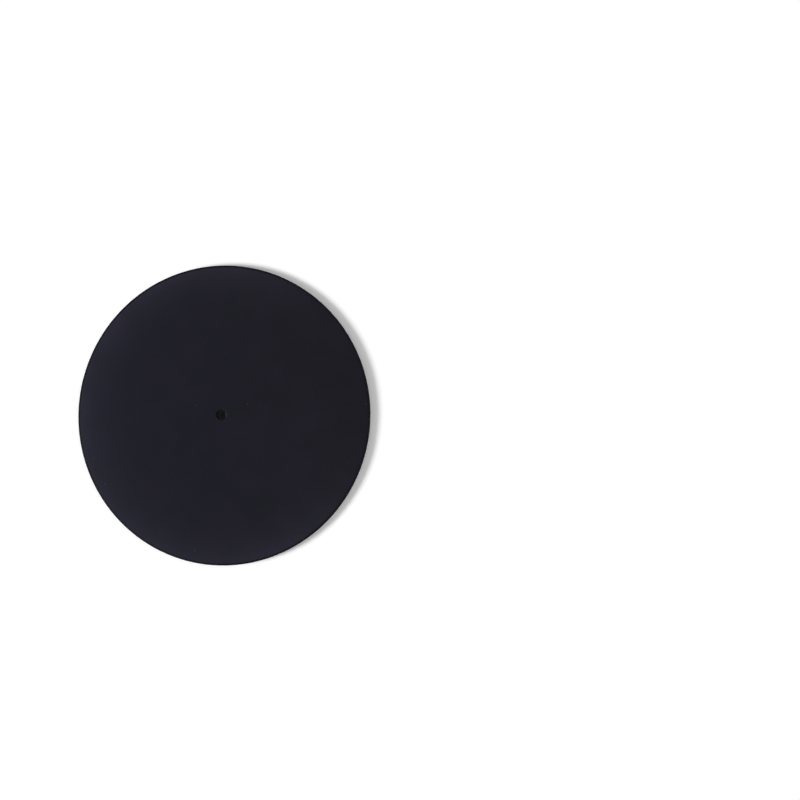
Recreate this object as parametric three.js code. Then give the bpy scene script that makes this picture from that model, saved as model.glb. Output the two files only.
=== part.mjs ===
// A platter mat for a record player: one disc of soft black rubber with a hole for the spindle at its centre.
// It lies on the platter, and the record lies on it. Both faces are flat and plain, and the corners of the
// rim and of the hole are slightly rounded, as they leave the mould.
// Millimetres, +Z up. The origin is on the mat's axis, in the plane that the mat rests on.

import * as THREE from "three";

// Driving dimensions
const matDiameter = 203; // across the rim, for an 8 inch platter
const matThickness = 3;
const spindleDiameter = 7.1; // the pin that stands up through the mat
const spindleClearance = 0.05; // all round the pin
const rimRounding = 0.5; // radius of the two corners at the rim
const holeRounding = 0.3; // radius of the two corners at the hole
const cornerShare = 0.45; // of the thickness, the most that one rounded corner may take up

// Fineness of the surface
const segmentsRound = 96; // facets in one turn about the axis
const segmentsPerHalfCorner = 2; // each rounded corner has twice as many

const rubberColour = 0x212028;

// The mat's section on one side of the axis, as radius and height: a long thin bar with four rounded corners.
function matSection() {
  const rim = matDiameter / 2;
  const hole = spindleDiameter / 2 + spindleClearance;
  const top = matThickness;
  const outer = Math.min(rimRounding, cornerShare * matThickness);
  const inner = Math.min(holeRounding, cornerShare * matThickness);
  const quarter = Math.PI / 2;

  const section = new THREE.Shape();
  section.moveTo(hole + inner, 0);
  section.lineTo(rim - outer, 0);
  section.absarc(rim - outer, outer, outer, -quarter, 0);
  section.absarc(rim - outer, top - outer, outer, 0, quarter);
  section.lineTo(hole + inner, top);
  section.absarc(hole + inner, top - inner, inner, quarter, 2 * quarter);
  section.absarc(hole + inner, inner, inner, 2 * quarter, 3 * quarter);
  return section;
}

// A section turned once about its own vertical axis, which is then stood along +Z.
// The section's last arc ends where its outline began, so those two points are made the same.
function turned(section) {
  const outline = section.getPoints(segmentsPerHalfCorner);
  outline[outline.length - 1].copy(outline[0]);
  const geometry = new THREE.LatheGeometry(outline, segmentsRound);
  geometry.rotateX(Math.PI / 2);
  return geometry;
}

function rubber() {
  return new THREE.MeshStandardMaterial({ color: rubberColour, roughness: 0.85, metalness: 0 });
}

const platterMat = new THREE.Mesh(turned(matSection()), rubber());
platterMat.name = "platter_mat";

const group = new THREE.Group();
group.add(platterMat);

export default group;
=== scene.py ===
# A plain mat of soft black rubber for a record player's platter, lying on pale card.
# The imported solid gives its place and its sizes. The mat that is seen is made over it, with a finer surface
# and a moulded rubber finish. Metres, +Z up, with the origin under the middle of the mat.

import math

import bpy
from mathutils import Matrix, Vector


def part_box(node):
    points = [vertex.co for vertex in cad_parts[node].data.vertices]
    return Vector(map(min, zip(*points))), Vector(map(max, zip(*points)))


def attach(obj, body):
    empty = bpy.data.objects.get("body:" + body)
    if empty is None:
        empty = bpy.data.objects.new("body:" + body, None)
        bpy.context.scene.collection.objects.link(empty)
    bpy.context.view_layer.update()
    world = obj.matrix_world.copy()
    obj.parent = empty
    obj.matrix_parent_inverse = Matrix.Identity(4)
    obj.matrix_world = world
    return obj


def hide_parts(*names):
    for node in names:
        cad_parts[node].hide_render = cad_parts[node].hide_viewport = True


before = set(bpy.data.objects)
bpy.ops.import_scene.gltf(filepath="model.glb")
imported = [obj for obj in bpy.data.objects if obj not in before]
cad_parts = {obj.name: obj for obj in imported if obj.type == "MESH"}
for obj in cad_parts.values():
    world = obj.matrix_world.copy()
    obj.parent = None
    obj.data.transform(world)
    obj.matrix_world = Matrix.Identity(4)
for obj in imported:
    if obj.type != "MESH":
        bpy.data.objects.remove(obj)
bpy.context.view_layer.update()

MM = 0.001

# The mat's surface
STEPS_ROUND = 360  # faces in one turn about the axis
RINGS = 36  # rings of faces between the hole and the rim, on the top and on the underside
RING_CROWDING = 1.5  # above 1, the rings are narrower towards the hole
CORNER_STEPS = 8  # faces across each rounded corner
NEAR_END = 0.499  # share of the section's length, out from its middle, past which a point is at an end
HOLLOW_DEPTH = 0.10 * MM  # how far the top sinks, at most, where the moulding shrank
HOLLOW_ACROSS = 60 * MM
HOLLOW_STARTS = 0.4  # level of the noise at which the top starts to sink
HOLLOW_FULL = 0.7  # level at which it has sunk by HOLLOW_DEPTH
TOP_TOLERANCE = 0.01 * MM  # a point of the solid counts as on the top when it is this close to the highest

# The photograph's view, from nearly straight above: the camera's place, and the point that it looks at
VIEW_FROM = Vector((0.21522, -0.01720, 0.73247))
VIEW_AT = Vector((0.12126, 0.00957, 0.0))
LENS = 50.0  # focal length in millimetres

# The rubber's colours and gloss
DEEP_BLACK = (0.0055, 0.0051, 0.0091, 1.0)
HAZY_BLACK = (0.0073, 0.0066, 0.0131, 1.0)
# painted shade and blue tint for the side the light comes from
SIDE_SHADE_BLUE = (0.0010, 0.0010, 0.0150, 1.0)
# the pale colour of the painted glare
GLARE_COLOUR = (0.10, 0.098, 0.148, 1.0)
DUST = (0.07, 0.07, 0.075, 1.0)
ROUGHNESS = 0.66
SHINE = 0.11

# How the finish varies over the rubber, from the broadest patches to the finest. Where a noise is 1, the
# rubber is paler by that share of its colour, and its roughness is that much more.
NOISE_SPREAD = 3.0  # opens a noise's narrow band out to about -1 to 1
CLOUDS_ACROSS = 38 * MM
CLOUDS_PALER = 0.06
CLOUDS_ROUGHER = 0.05
CLOUDS_IN_HAZE = 0.6
CLOUDS_IN_GLARE = 0.20
HAZE_ACROSS = 17 * MM
MOTTLE_ACROSS = 1.3 * MM
MOTTLE_PALER = 0.08
MOTTLE_ROUGHER = 0.04
GRAIN_ACROSS = 0.65 * MM
GRAIN_PALER = 0.10
GRAIN_HEIGHT = 0.050 * MM

# The border at the rim, and the rim's wall, are smoother than the rest, and painted darker: painted shade for
# a dark line along the rim
BORDER_STARTS = 1.9 * MM  # in from the rim
BORDER_FULL = 1.1 * MM
BORDER_PAINTED_SHADE = 0.40
BORDER_GLOSSIER = 0.04
BORDER_LESS_GRAIN = 0.6

# Painted glare: a faint pale glow painted along the rim on the side the light comes from. There the rubber is
# also painted darker and bluer, as painted shade and tint.
PAINTED_GLARE = 0.095  # share of the painted glare's pale colour where the painted glare is full
GLARE_SIDE = math.radians(195)  # round from +X towards +Y
GLARE_STARTS = -0.9  # from the axis towards that side, in rim radii
GLARE_FULL = -0.3
GLARE_POWER = 7  # the higher, the closer the painted glare keeps to the rim
EDGE_GLARE = 0.4  # added at the very edge
EDGE_GLARE_POWER = 40
PAINTED_SIDE_SHADE = 0.35  # share of painted side shade, darker and bluer, at the rim on the painted glare's side, fading to none at the other side

# Specks of dust, thinly spread
DUST_APART = 9 * MM
DUST_ACROSS = 0.9 * MM  # of the largest
DUST_CORE = 0.4  # share of a speck's radius that is pale all over
DUST_SHARE = 0.035  # share of the cells, each about DUST_APART across, that hold a speck

# The studio
BLACK = (0.0, 0.0, 0.0, 1.0)
# painted shade for the card under the mat, seen through the hole
PAINTED_SHADE_GREY = (0.16, 0.16, 0.16, 1.0)
PALE = (0.8, 0.8, 0.8, 1.0)
WHITE = (1.0, 1.0, 1.0, 1.0)
FLOOR_REACH = 6.0  # from the origin to each edge
FLOOR_GAP = 0.02 * MM  # between the floor and the mat's underside
CARD_SHADE_ENDS = 0.5  # from the origin, in rim radii: the card is painted dark, as painted shade under the mat, up to here
CARD_PALE = 0.9  # and pale from here on
CARD_NEAR = 0.14  # from the origin, in metres: the card shows the mat's shadow up to here
CARD_FAR = 0.40  # and is plain white from here on
CARD_LIFT = 0.15  # how much lighter than it is lit the card looks around the mat
WALL_LIGHT = 1.65
CEILING_LIGHT = 0.02
CEILING_STARTS = 0.32  # as the sine of the height above the horizon
CEILING_FULL = 0.72
WINDOW_SIDE = math.radians(192)  # round from +X towards +Y
WINDOW_HEIGHT = math.radians(20)  # above the horizon
WINDOW_ACROSS = math.radians(22)  # as seen from the mat
WINDOW_LIGHT = 4.9


class Signal:
    """One output of a node. Arithmetic on signals adds Math nodes to their tree."""

    def __init__(self, tree, socket):
        self.tree = tree
        self.socket = socket

    def calculate(self, operation, first, second):
        inputs = {"Value": first, "Value_001": second}
        return self.tree.node("ShaderNodeMath", {"operation": operation}, inputs)["Value"]

    def __add__(self, other):
        return self.calculate("ADD", self, other)

    def __radd__(self, other):
        return self.calculate("ADD", other, self)

    def __sub__(self, other):
        return self.calculate("SUBTRACT", self, other)

    def __rsub__(self, other):
        return self.calculate("SUBTRACT", other, self)

    def __mul__(self, other):
        return self.calculate("MULTIPLY", self, other)

    def __rmul__(self, other):
        return self.calculate("MULTIPLY", other, self)

    def __truediv__(self, other):
        return self.calculate("DIVIDE", self, other)

    def __rtruediv__(self, other):
        return self.calculate("DIVIDE", other, self)

    def __pow__(self, other):
        return self.calculate("POWER", self, other)

    def __gt__(self, other):
        return self.calculate("GREATER_THAN", self, other)

    def __lt__(self, other):
        return self.calculate("LESS_THAN", self, other)

    def clamped(self):
        return self.calculate("MINIMUM", self.calculate("MAXIMUM", self, 0.0), 1.0)


class Tree:
    """A node tree that is being built."""

    def __init__(self, tree):
        tree.nodes.clear()
        self.nodes = tree.nodes
        self.links = tree.links

    def node(self, kind, settings=None, inputs=None):
        """Adds a node: its settings first, then the value or link of each socket. Returns its outputs."""
        node = self.nodes.new(kind)
        for name, setting in (settings or {}).items():
            setattr(node, name, setting)
        for name, value in (inputs or {}).items():
            self.feed(self.find(node.inputs, name), value)
        return {key: Signal(self, s) for s in node.outputs for key in (s.name, s.identifier)}

    @staticmethod
    def find(sockets, name):
        return next(s for s in sockets if name in (s.identifier, s.name))

    def feed(self, socket, value):
        if isinstance(value, Signal):
            self.links.new(value.socket, socket)
        else:
            socket.default_value = value

    def smooth(self, value, start, end):
        """0 up to start, 1 from end on, and an even swing between them."""
        settings = {"interpolation_type": "SMOOTHSTEP"}
        inputs = {"Value": value, "From Min": start, "From Max": end}
        return self.node("ShaderNodeMapRange", settings, inputs)["Result"]

    def noise(self, place, across, detail):
        """Noise from about -1 to 1, in patches of that size. Place is in millimetres, across in metres."""
        inputs = {"Vector": place, "Scale": MM / across, "Detail": detail}
        return (self.node("ShaderNodeTexNoise", None, inputs)["Fac"] - 0.5) * NOISE_SPREAD

    def mix(self, share, first, second):
        inputs = {"Factor_Float": share, "A_Color": first, "B_Color": second}
        return self.node("ShaderNodeMix", {"data_type": "RGBA"}, inputs)["Result_Color"]

    def scaled(self, vector, factor):
        inputs = {"Vector": vector, "Scale": factor}
        return self.node("ShaderNodeVectorMath", {"operation": "SCALE"}, inputs)["Vector"]


def solid_sizes():
    """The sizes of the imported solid: its radii, its thickness and how far its corners are rounded."""
    low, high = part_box("platter_mat")
    points = [v.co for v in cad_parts["platter_mat"].data.vertices]
    reach = [math.hypot(p.x, p.y) for p in points]
    top_reach = [r for p, r in zip(points, reach) if p.z > high.z - TOP_TOLERANCE]
    return {
        "Rim Radius": max(reach),
        "Hole Radius": min(reach),
        "Thickness": high.z - low.z,
        "Rim Rounding": max(reach) - max(top_reach),
        "Hole Rounding": min(top_reach) - min(reach),
    }


def new_inputs(group, values):
    """Gives the group one named input for each value, and returns the identifiers of their sockets."""
    kinds = {float: "NodeSocketFloat", int: "NodeSocketInt", bpy.types.Material: "NodeSocketMaterial"}
    return {
        name: group.interface.new_socket(name=name, in_out="INPUT", socket_type=kinds[type(value)]).identifier
        for name, value in values.items()
    }


def section(tree, size):
    """The mat's section, as a closed outline: X from the hole to the rim, Y down, and the underside at 0."""
    thickness = size["Thickness"]
    length = size["Rim Radius"] - size["Hole Radius"]
    bar = tree.node("GeometryNodeCurvePrimitiveQuadrilateral", None, {"Width": length, "Height": thickness})
    corner = tree.node("GeometryNodeInputIndex")["Index"]
    starts_long_side = 1 - corner.calculate("MODULO", corner, 2)
    cuts = starts_long_side * (size["Rings"] - 1)
    outline = tree.node("GeometryNodeSubdivideCurve", None, {"Curve": bar["Curve"], "Cuts": cuts})["Curve"]

    # The points along its two long sides crowd towards the hole, and its underside comes to 0
    place = tree.node("GeometryNodeInputPosition")["Position"]
    along = tree.node("ShaderNodeSeparateXYZ", None, {"Vector": place})
    share = (along["X"] / length + 0.5).clamped()
    outwards = length * (share ** size["Ring Crowding"] - 0.5)
    downwards = along["Y"] - thickness * 0.5
    moved = tree.node("ShaderNodeCombineXYZ", None, {"X": outwards, "Y": downwards})["Vector"]
    outline = tree.node("GeometryNodeSetPosition", None, {"Geometry": outline, "Position": moved})["Geometry"]

    # Its four corners are rounded, the two at the rim more than the two at the hole
    at_rim = along["X"] > length * NEAR_END
    at_hole = along["X"] < length * -NEAR_END
    radius = at_rim * size["Rim Rounding"] + at_hole * size["Hole Rounding"]
    inputs = {"Curve": outline, "Count": size["Corner Steps"], "Radius": radius, "Limit Radius": True}
    return tree.node("GeometryNodeFilletCurve", {"mode": "POLY"}, inputs)["Curve"]


def hollowed(tree, size, body):
    """The body with shallow hollows in its top, and its underside still flat."""
    place = tree.node("GeometryNodeInputPosition")["Position"]
    inputs = {"Vector": place, "Scale": 1 / size["Hollow Across"], "Detail": 1.0}
    level = tree.node("ShaderNodeTexNoise", None, inputs)["Fac"]
    height = tree.node("ShaderNodeSeparateXYZ", None, {"Vector": place})["Z"] / size["Thickness"]
    sink = tree.smooth(level, HOLLOW_STARTS, HOLLOW_FULL) * height * size["Hollow Depth"]
    offset = tree.node("ShaderNodeCombineXYZ", None, {"Z": sink * -1})["Vector"]
    return tree.node("GeometryNodeSetPosition", None, {"Geometry": body, "Offset": offset})["Geometry"]


def body_group(values):
    """The mat's section swept once round its axis. In the sweep, its X points outwards and its Y down."""
    group = bpy.data.node_groups.new("mat_body", "GeometryNodeTree")
    sockets = new_inputs(group, values)
    group.interface.new_socket(name="Geometry", in_out="OUTPUT", socket_type="NodeSocketGeometry")
    tree = Tree(group)
    size = tree.node("NodeGroupInput")
    middle = (size["Rim Radius"] + size["Hole Radius"]) * 0.5
    inputs = {"Resolution": size["Steps Round"], "Radius": middle}
    turn = tree.node("GeometryNodeCurvePrimitiveCircle", None, inputs)["Curve"]
    inputs = {"Curve": turn, "Profile Curve": section(tree, size)}
    body = tree.node("GeometryNodeCurveToMesh", None, inputs)["Mesh"]
    body = hollowed(tree, size, body)
    body = tree.node("GeometryNodeSetShadeSmooth", None, {"Geometry": body})["Geometry"]
    body = tree.node("GeometryNodeRealizeInstances", None, {"Geometry": body})["Geometry"]
    inputs = {"Geometry": body, "Material": size["Finish"]}
    body = tree.node("GeometryNodeSetMaterial", None, inputs)["Geometry"]
    tree.node("NodeGroupOutput", None, {"Geometry": body})
    return group, sockets


def add(name, data):
    """A new object in the scene, at the origin."""
    made = bpy.data.objects.new(name, data)
    bpy.context.scene.collection.objects.link(made)
    return made


def settle(piece):
    """Turns what the piece's modifiers make into a plain mesh."""
    finished = piece.evaluated_get(bpy.context.evaluated_depsgraph_get())
    mesh = bpy.data.meshes.new_from_object(finished)
    piece.modifiers.clear()
    piece.data = mesh


def rubber_mat(finish):
    values = {
        **solid_sizes(),
        "Steps Round": STEPS_ROUND,
        "Rings": RINGS,
        "Ring Crowding": RING_CROWDING,
        "Corner Steps": CORNER_STEPS,
        "Hollow Depth": HOLLOW_DEPTH,
        "Hollow Across": HOLLOW_ACROSS,
        "Finish": finish,
    }
    mat = add("rubber_mat", bpy.data.meshes.new("rubber_mat"))
    group, sockets = body_group(values)
    shape = mat.modifiers.new("shape", "NODES")
    shape.node_group = group
    for name, value in values.items():
        shape[sockets[name]] = value
    shading = mat.modifiers.new("shading", "WEIGHTED_NORMAL")
    shading.keep_sharp = False
    settle(mat)
    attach(mat, "root")
    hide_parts("platter_mat")


def glare_strength(tree, reach, towards):
    """The painted glare's strength: 0 at the middle of the mat, and greatest at the rim on the side the light
    comes from.
    """
    near_rim = reach ** GLARE_POWER + reach ** EDGE_GLARE_POWER * EDGE_GLARE
    return near_rim * tree.smooth(towards, GLARE_STARTS, GLARE_FULL)


def dust(tree, place):
    """1 on a few small specks, spread thinly and unevenly, and 0 elsewhere."""
    inputs = {"Vector": place, "Scale": MM / DUST_APART}
    cell = tree.node("ShaderNodeTexVoronoi", {"voronoi_dimensions": "2D"}, inputs)
    chance = tree.node("ShaderNodeSeparateColor", None, {"Color": cell["Color"]})
    radius = 0.5 * DUST_ACROSS / DUST_APART * chance["Green"]
    speck = 1 - tree.smooth(cell["Distance"], radius * DUST_CORE, radius)
    return speck * (chance["Red"] > 1 - DUST_SHARE)


def rubber():
    """Soft black rubber from a fine matt mould: an even grain, faint haze and a little dust, with painted
    glare and painted shade.
    """
    material = bpy.data.materials.new("moulded_rubber")
    material.use_nodes = True
    tree = Tree(material.node_tree)
    place = tree.scaled(tree.node("ShaderNodeTexCoord")["Object"], 1 / MM)
    clouds = tree.noise(place, CLOUDS_ACROSS, detail=2.0)
    haze = tree.noise(place, HAZE_ACROSS, detail=3.0)
    mottle = tree.noise(place, MOTTLE_ACROSS, detail=1.0)
    grain = tree.noise(place, GRAIN_ACROSS, detail=2.0)

    # Distances from the axis in rim radii: in all, and towards the side of the painted glare and painted side
    # shade
    rim = solid_sizes()["Rim Radius"]
    out = tree.node("ShaderNodeSeparateXYZ", None, {"Vector": tree.scaled(place, MM / rim)})
    reach = (out["X"] * out["X"] + out["Y"] * out["Y"]) ** 0.5
    towards = out["X"] * math.cos(GLARE_SIDE) + out["Y"] * math.sin(GLARE_SIDE)
    border = tree.smooth(reach, 1 - BORDER_STARTS / rim, 1 - BORDER_FULL / rim)

    hazy = tree.smooth(clouds * CLOUDS_IN_HAZE + haze, -1.0, 1.0)
    # painted shade: the rubber on the light's side is painted darker and bluer
    side_shade = tree.smooth(towards, -1.0, 1.0) * PAINTED_SIDE_SHADE
    paler = clouds * CLOUDS_PALER + mottle * MOTTLE_PALER + grain * GRAIN_PALER
    # painted glare: a pale glow painted along the rim on the side the light comes from
    glare = glare_strength(tree, reach, towards) * (1 + clouds * CLOUDS_IN_GLARE) * (1 - border) * PAINTED_GLARE
    colour = tree.mix(hazy, DEEP_BLACK, HAZY_BLACK)
    colour = tree.mix(side_shade, colour, SIDE_SHADE_BLUE)
    # painted shade: the border at the rim is painted darker
    colour = tree.scaled(colour, 1 + paler - border * BORDER_PAINTED_SHADE)
    colour = tree.mix(glare, colour, GLARE_COLOUR)
    colour = tree.mix(dust(tree, place), colour, DUST)

    roughness = ROUGHNESS + clouds * CLOUDS_ROUGHER + mottle * MOTTLE_ROUGHER - border * BORDER_GLOSSIER
    height = grain * (1 - border * BORDER_LESS_GRAIN)
    bump = tree.node("ShaderNodeBump", None, {"Strength": 1.0, "Distance": GRAIN_HEIGHT, "Height": height})

    inputs = {
        "Base Color": colour,
        "Roughness": roughness,
        "Specular IOR Level": SHINE,
        "Normal": bump["Normal"],
    }
    surface = tree.node("ShaderNodeBsdfPrincipled", None, inputs)["BSDF"]
    tree.node("ShaderNodeOutputMaterial", None, {"Surface": surface})
    return material


def seen_directly(tree):
    """1 for a ray that comes from the camera or from a mirror-like reflection, otherwise 0."""
    ray = tree.node("ShaderNodeLightPath")
    return (ray["Is Camera Ray"] + ray["Is Glossy Ray"] + ray["Is Transmission Ray"]).clamped()


def pale_card():
    """Pale card. Where it is seen directly it looks white around the mat, and it keeps the mat's shadow.

    Under the mat, where only the hole shows it, the card is painted dark: painted shade under the mat.
    """
    material = bpy.data.materials.new("pale_card")
    material.use_nodes = True
    tree = Tree(material.node_tree)
    place = tree.node("ShaderNodeTexCoord")["Object"]
    away = tree.node("ShaderNodeVectorMath", {"operation": "LENGTH"}, {"Vector": place})["Value"]
    rim = solid_sizes()["Rim Radius"]
    around = tree.smooth(away, CARD_SHADE_ENDS * rim, CARD_PALE * rim)
    far = tree.smooth(away, CARD_NEAR, CARD_FAR)
    shown = seen_directly(tree) * around

    # painted shade: the card under the mat is painted dark
    colour = tree.mix(around, PAINTED_SHADE_GREY, tree.mix(shown, PALE, WHITE))
    lit = tree.node("ShaderNodeBsdfDiffuse", None, {"Color": colour})["BSDF"]
    inputs = {"Color": tree.mix(shown, BLACK, WHITE), "Strength": CARD_LIFT}
    lift = tree.node("ShaderNodeEmission", None, inputs)["Emission"]
    near = tree.node("ShaderNodeAddShader", None, {"Shader": lit, "Shader_001": lift})["Shader"]
    plain = tree.node("ShaderNodeEmission", None, {"Color": WHITE, "Strength": 1.0})["Emission"]
    inputs = {"Fac": far * shown, "Shader": near, "Shader_001": plain}
    surface = tree.node("ShaderNodeMixShader", None, inputs)["Shader"]
    tree.node("ShaderNodeOutputMaterial", None, {"Surface": surface})
    return material


def floor():
    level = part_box("platter_mat")[0].z - FLOOR_GAP
    signs = ((-1, -1), (1, -1), (1, 1), (-1, 1))
    corners = [(x * FLOOR_REACH, y * FLOOR_REACH, level) for x, y in signs]
    mesh = bpy.data.meshes.new("card")
    mesh.from_pydata(corners, [], [(0, 1, 2, 3)])
    mesh.materials.append(pale_card())
    add("card", mesh)


def white_walls():
    """White walls all round, under a darker ceiling."""
    world = bpy.data.worlds.new("studio")
    world.use_nodes = True
    bpy.context.scene.world = world
    tree = Tree(world.node_tree)
    direction = tree.node("ShaderNodeTexCoord")["Generated"]
    height = tree.node("ShaderNodeSeparateXYZ", None, {"Vector": direction})["Z"]
    ceiling = tree.smooth(height, CEILING_STARTS, CEILING_FULL)
    strength = WALL_LIGHT + (CEILING_LIGHT - WALL_LIGHT) * ceiling
    light = tree.node("ShaderNodeBackground", None, {"Color": WHITE, "Strength": strength})
    tree.node("ShaderNodeOutputWorld", None, {"Surface": light["Background"]})


def window_light():
    """A wide soft light from the left, which throws the mat's short shadow to the right."""
    data = bpy.data.lights.new("window", "SUN")
    data.energy = WINDOW_LIGHT
    data.angle = WINDOW_ACROSS
    out = math.cos(WINDOW_HEIGHT)
    towards = Vector((out * math.cos(WINDOW_SIDE), out * math.sin(WINDOW_SIDE), math.sin(WINDOW_HEIGHT)))
    add("window", data).matrix_world = towards.to_track_quat("Z", "Y").to_matrix().to_4x4()


def camera():
    """Looks down on the mat as the photograph does, with +Y up in the picture."""
    data = bpy.data.cameras.new("view")
    data.lens = LENS
    back = (VIEW_FROM - VIEW_AT).normalized()
    right = Vector((0, 1, 0)).cross(back).normalized()
    up = back.cross(right)
    view = add("view", data)
    view.matrix_world = Matrix.Translation(VIEW_FROM) @ Matrix((right, up, back)).transposed().to_4x4()
    bpy.context.scene.camera = view


camera()
window_light()
white_walls()
floor()
rubber_mat(rubber())
bpy.context.scene.view_settings.view_transform = "Standard"
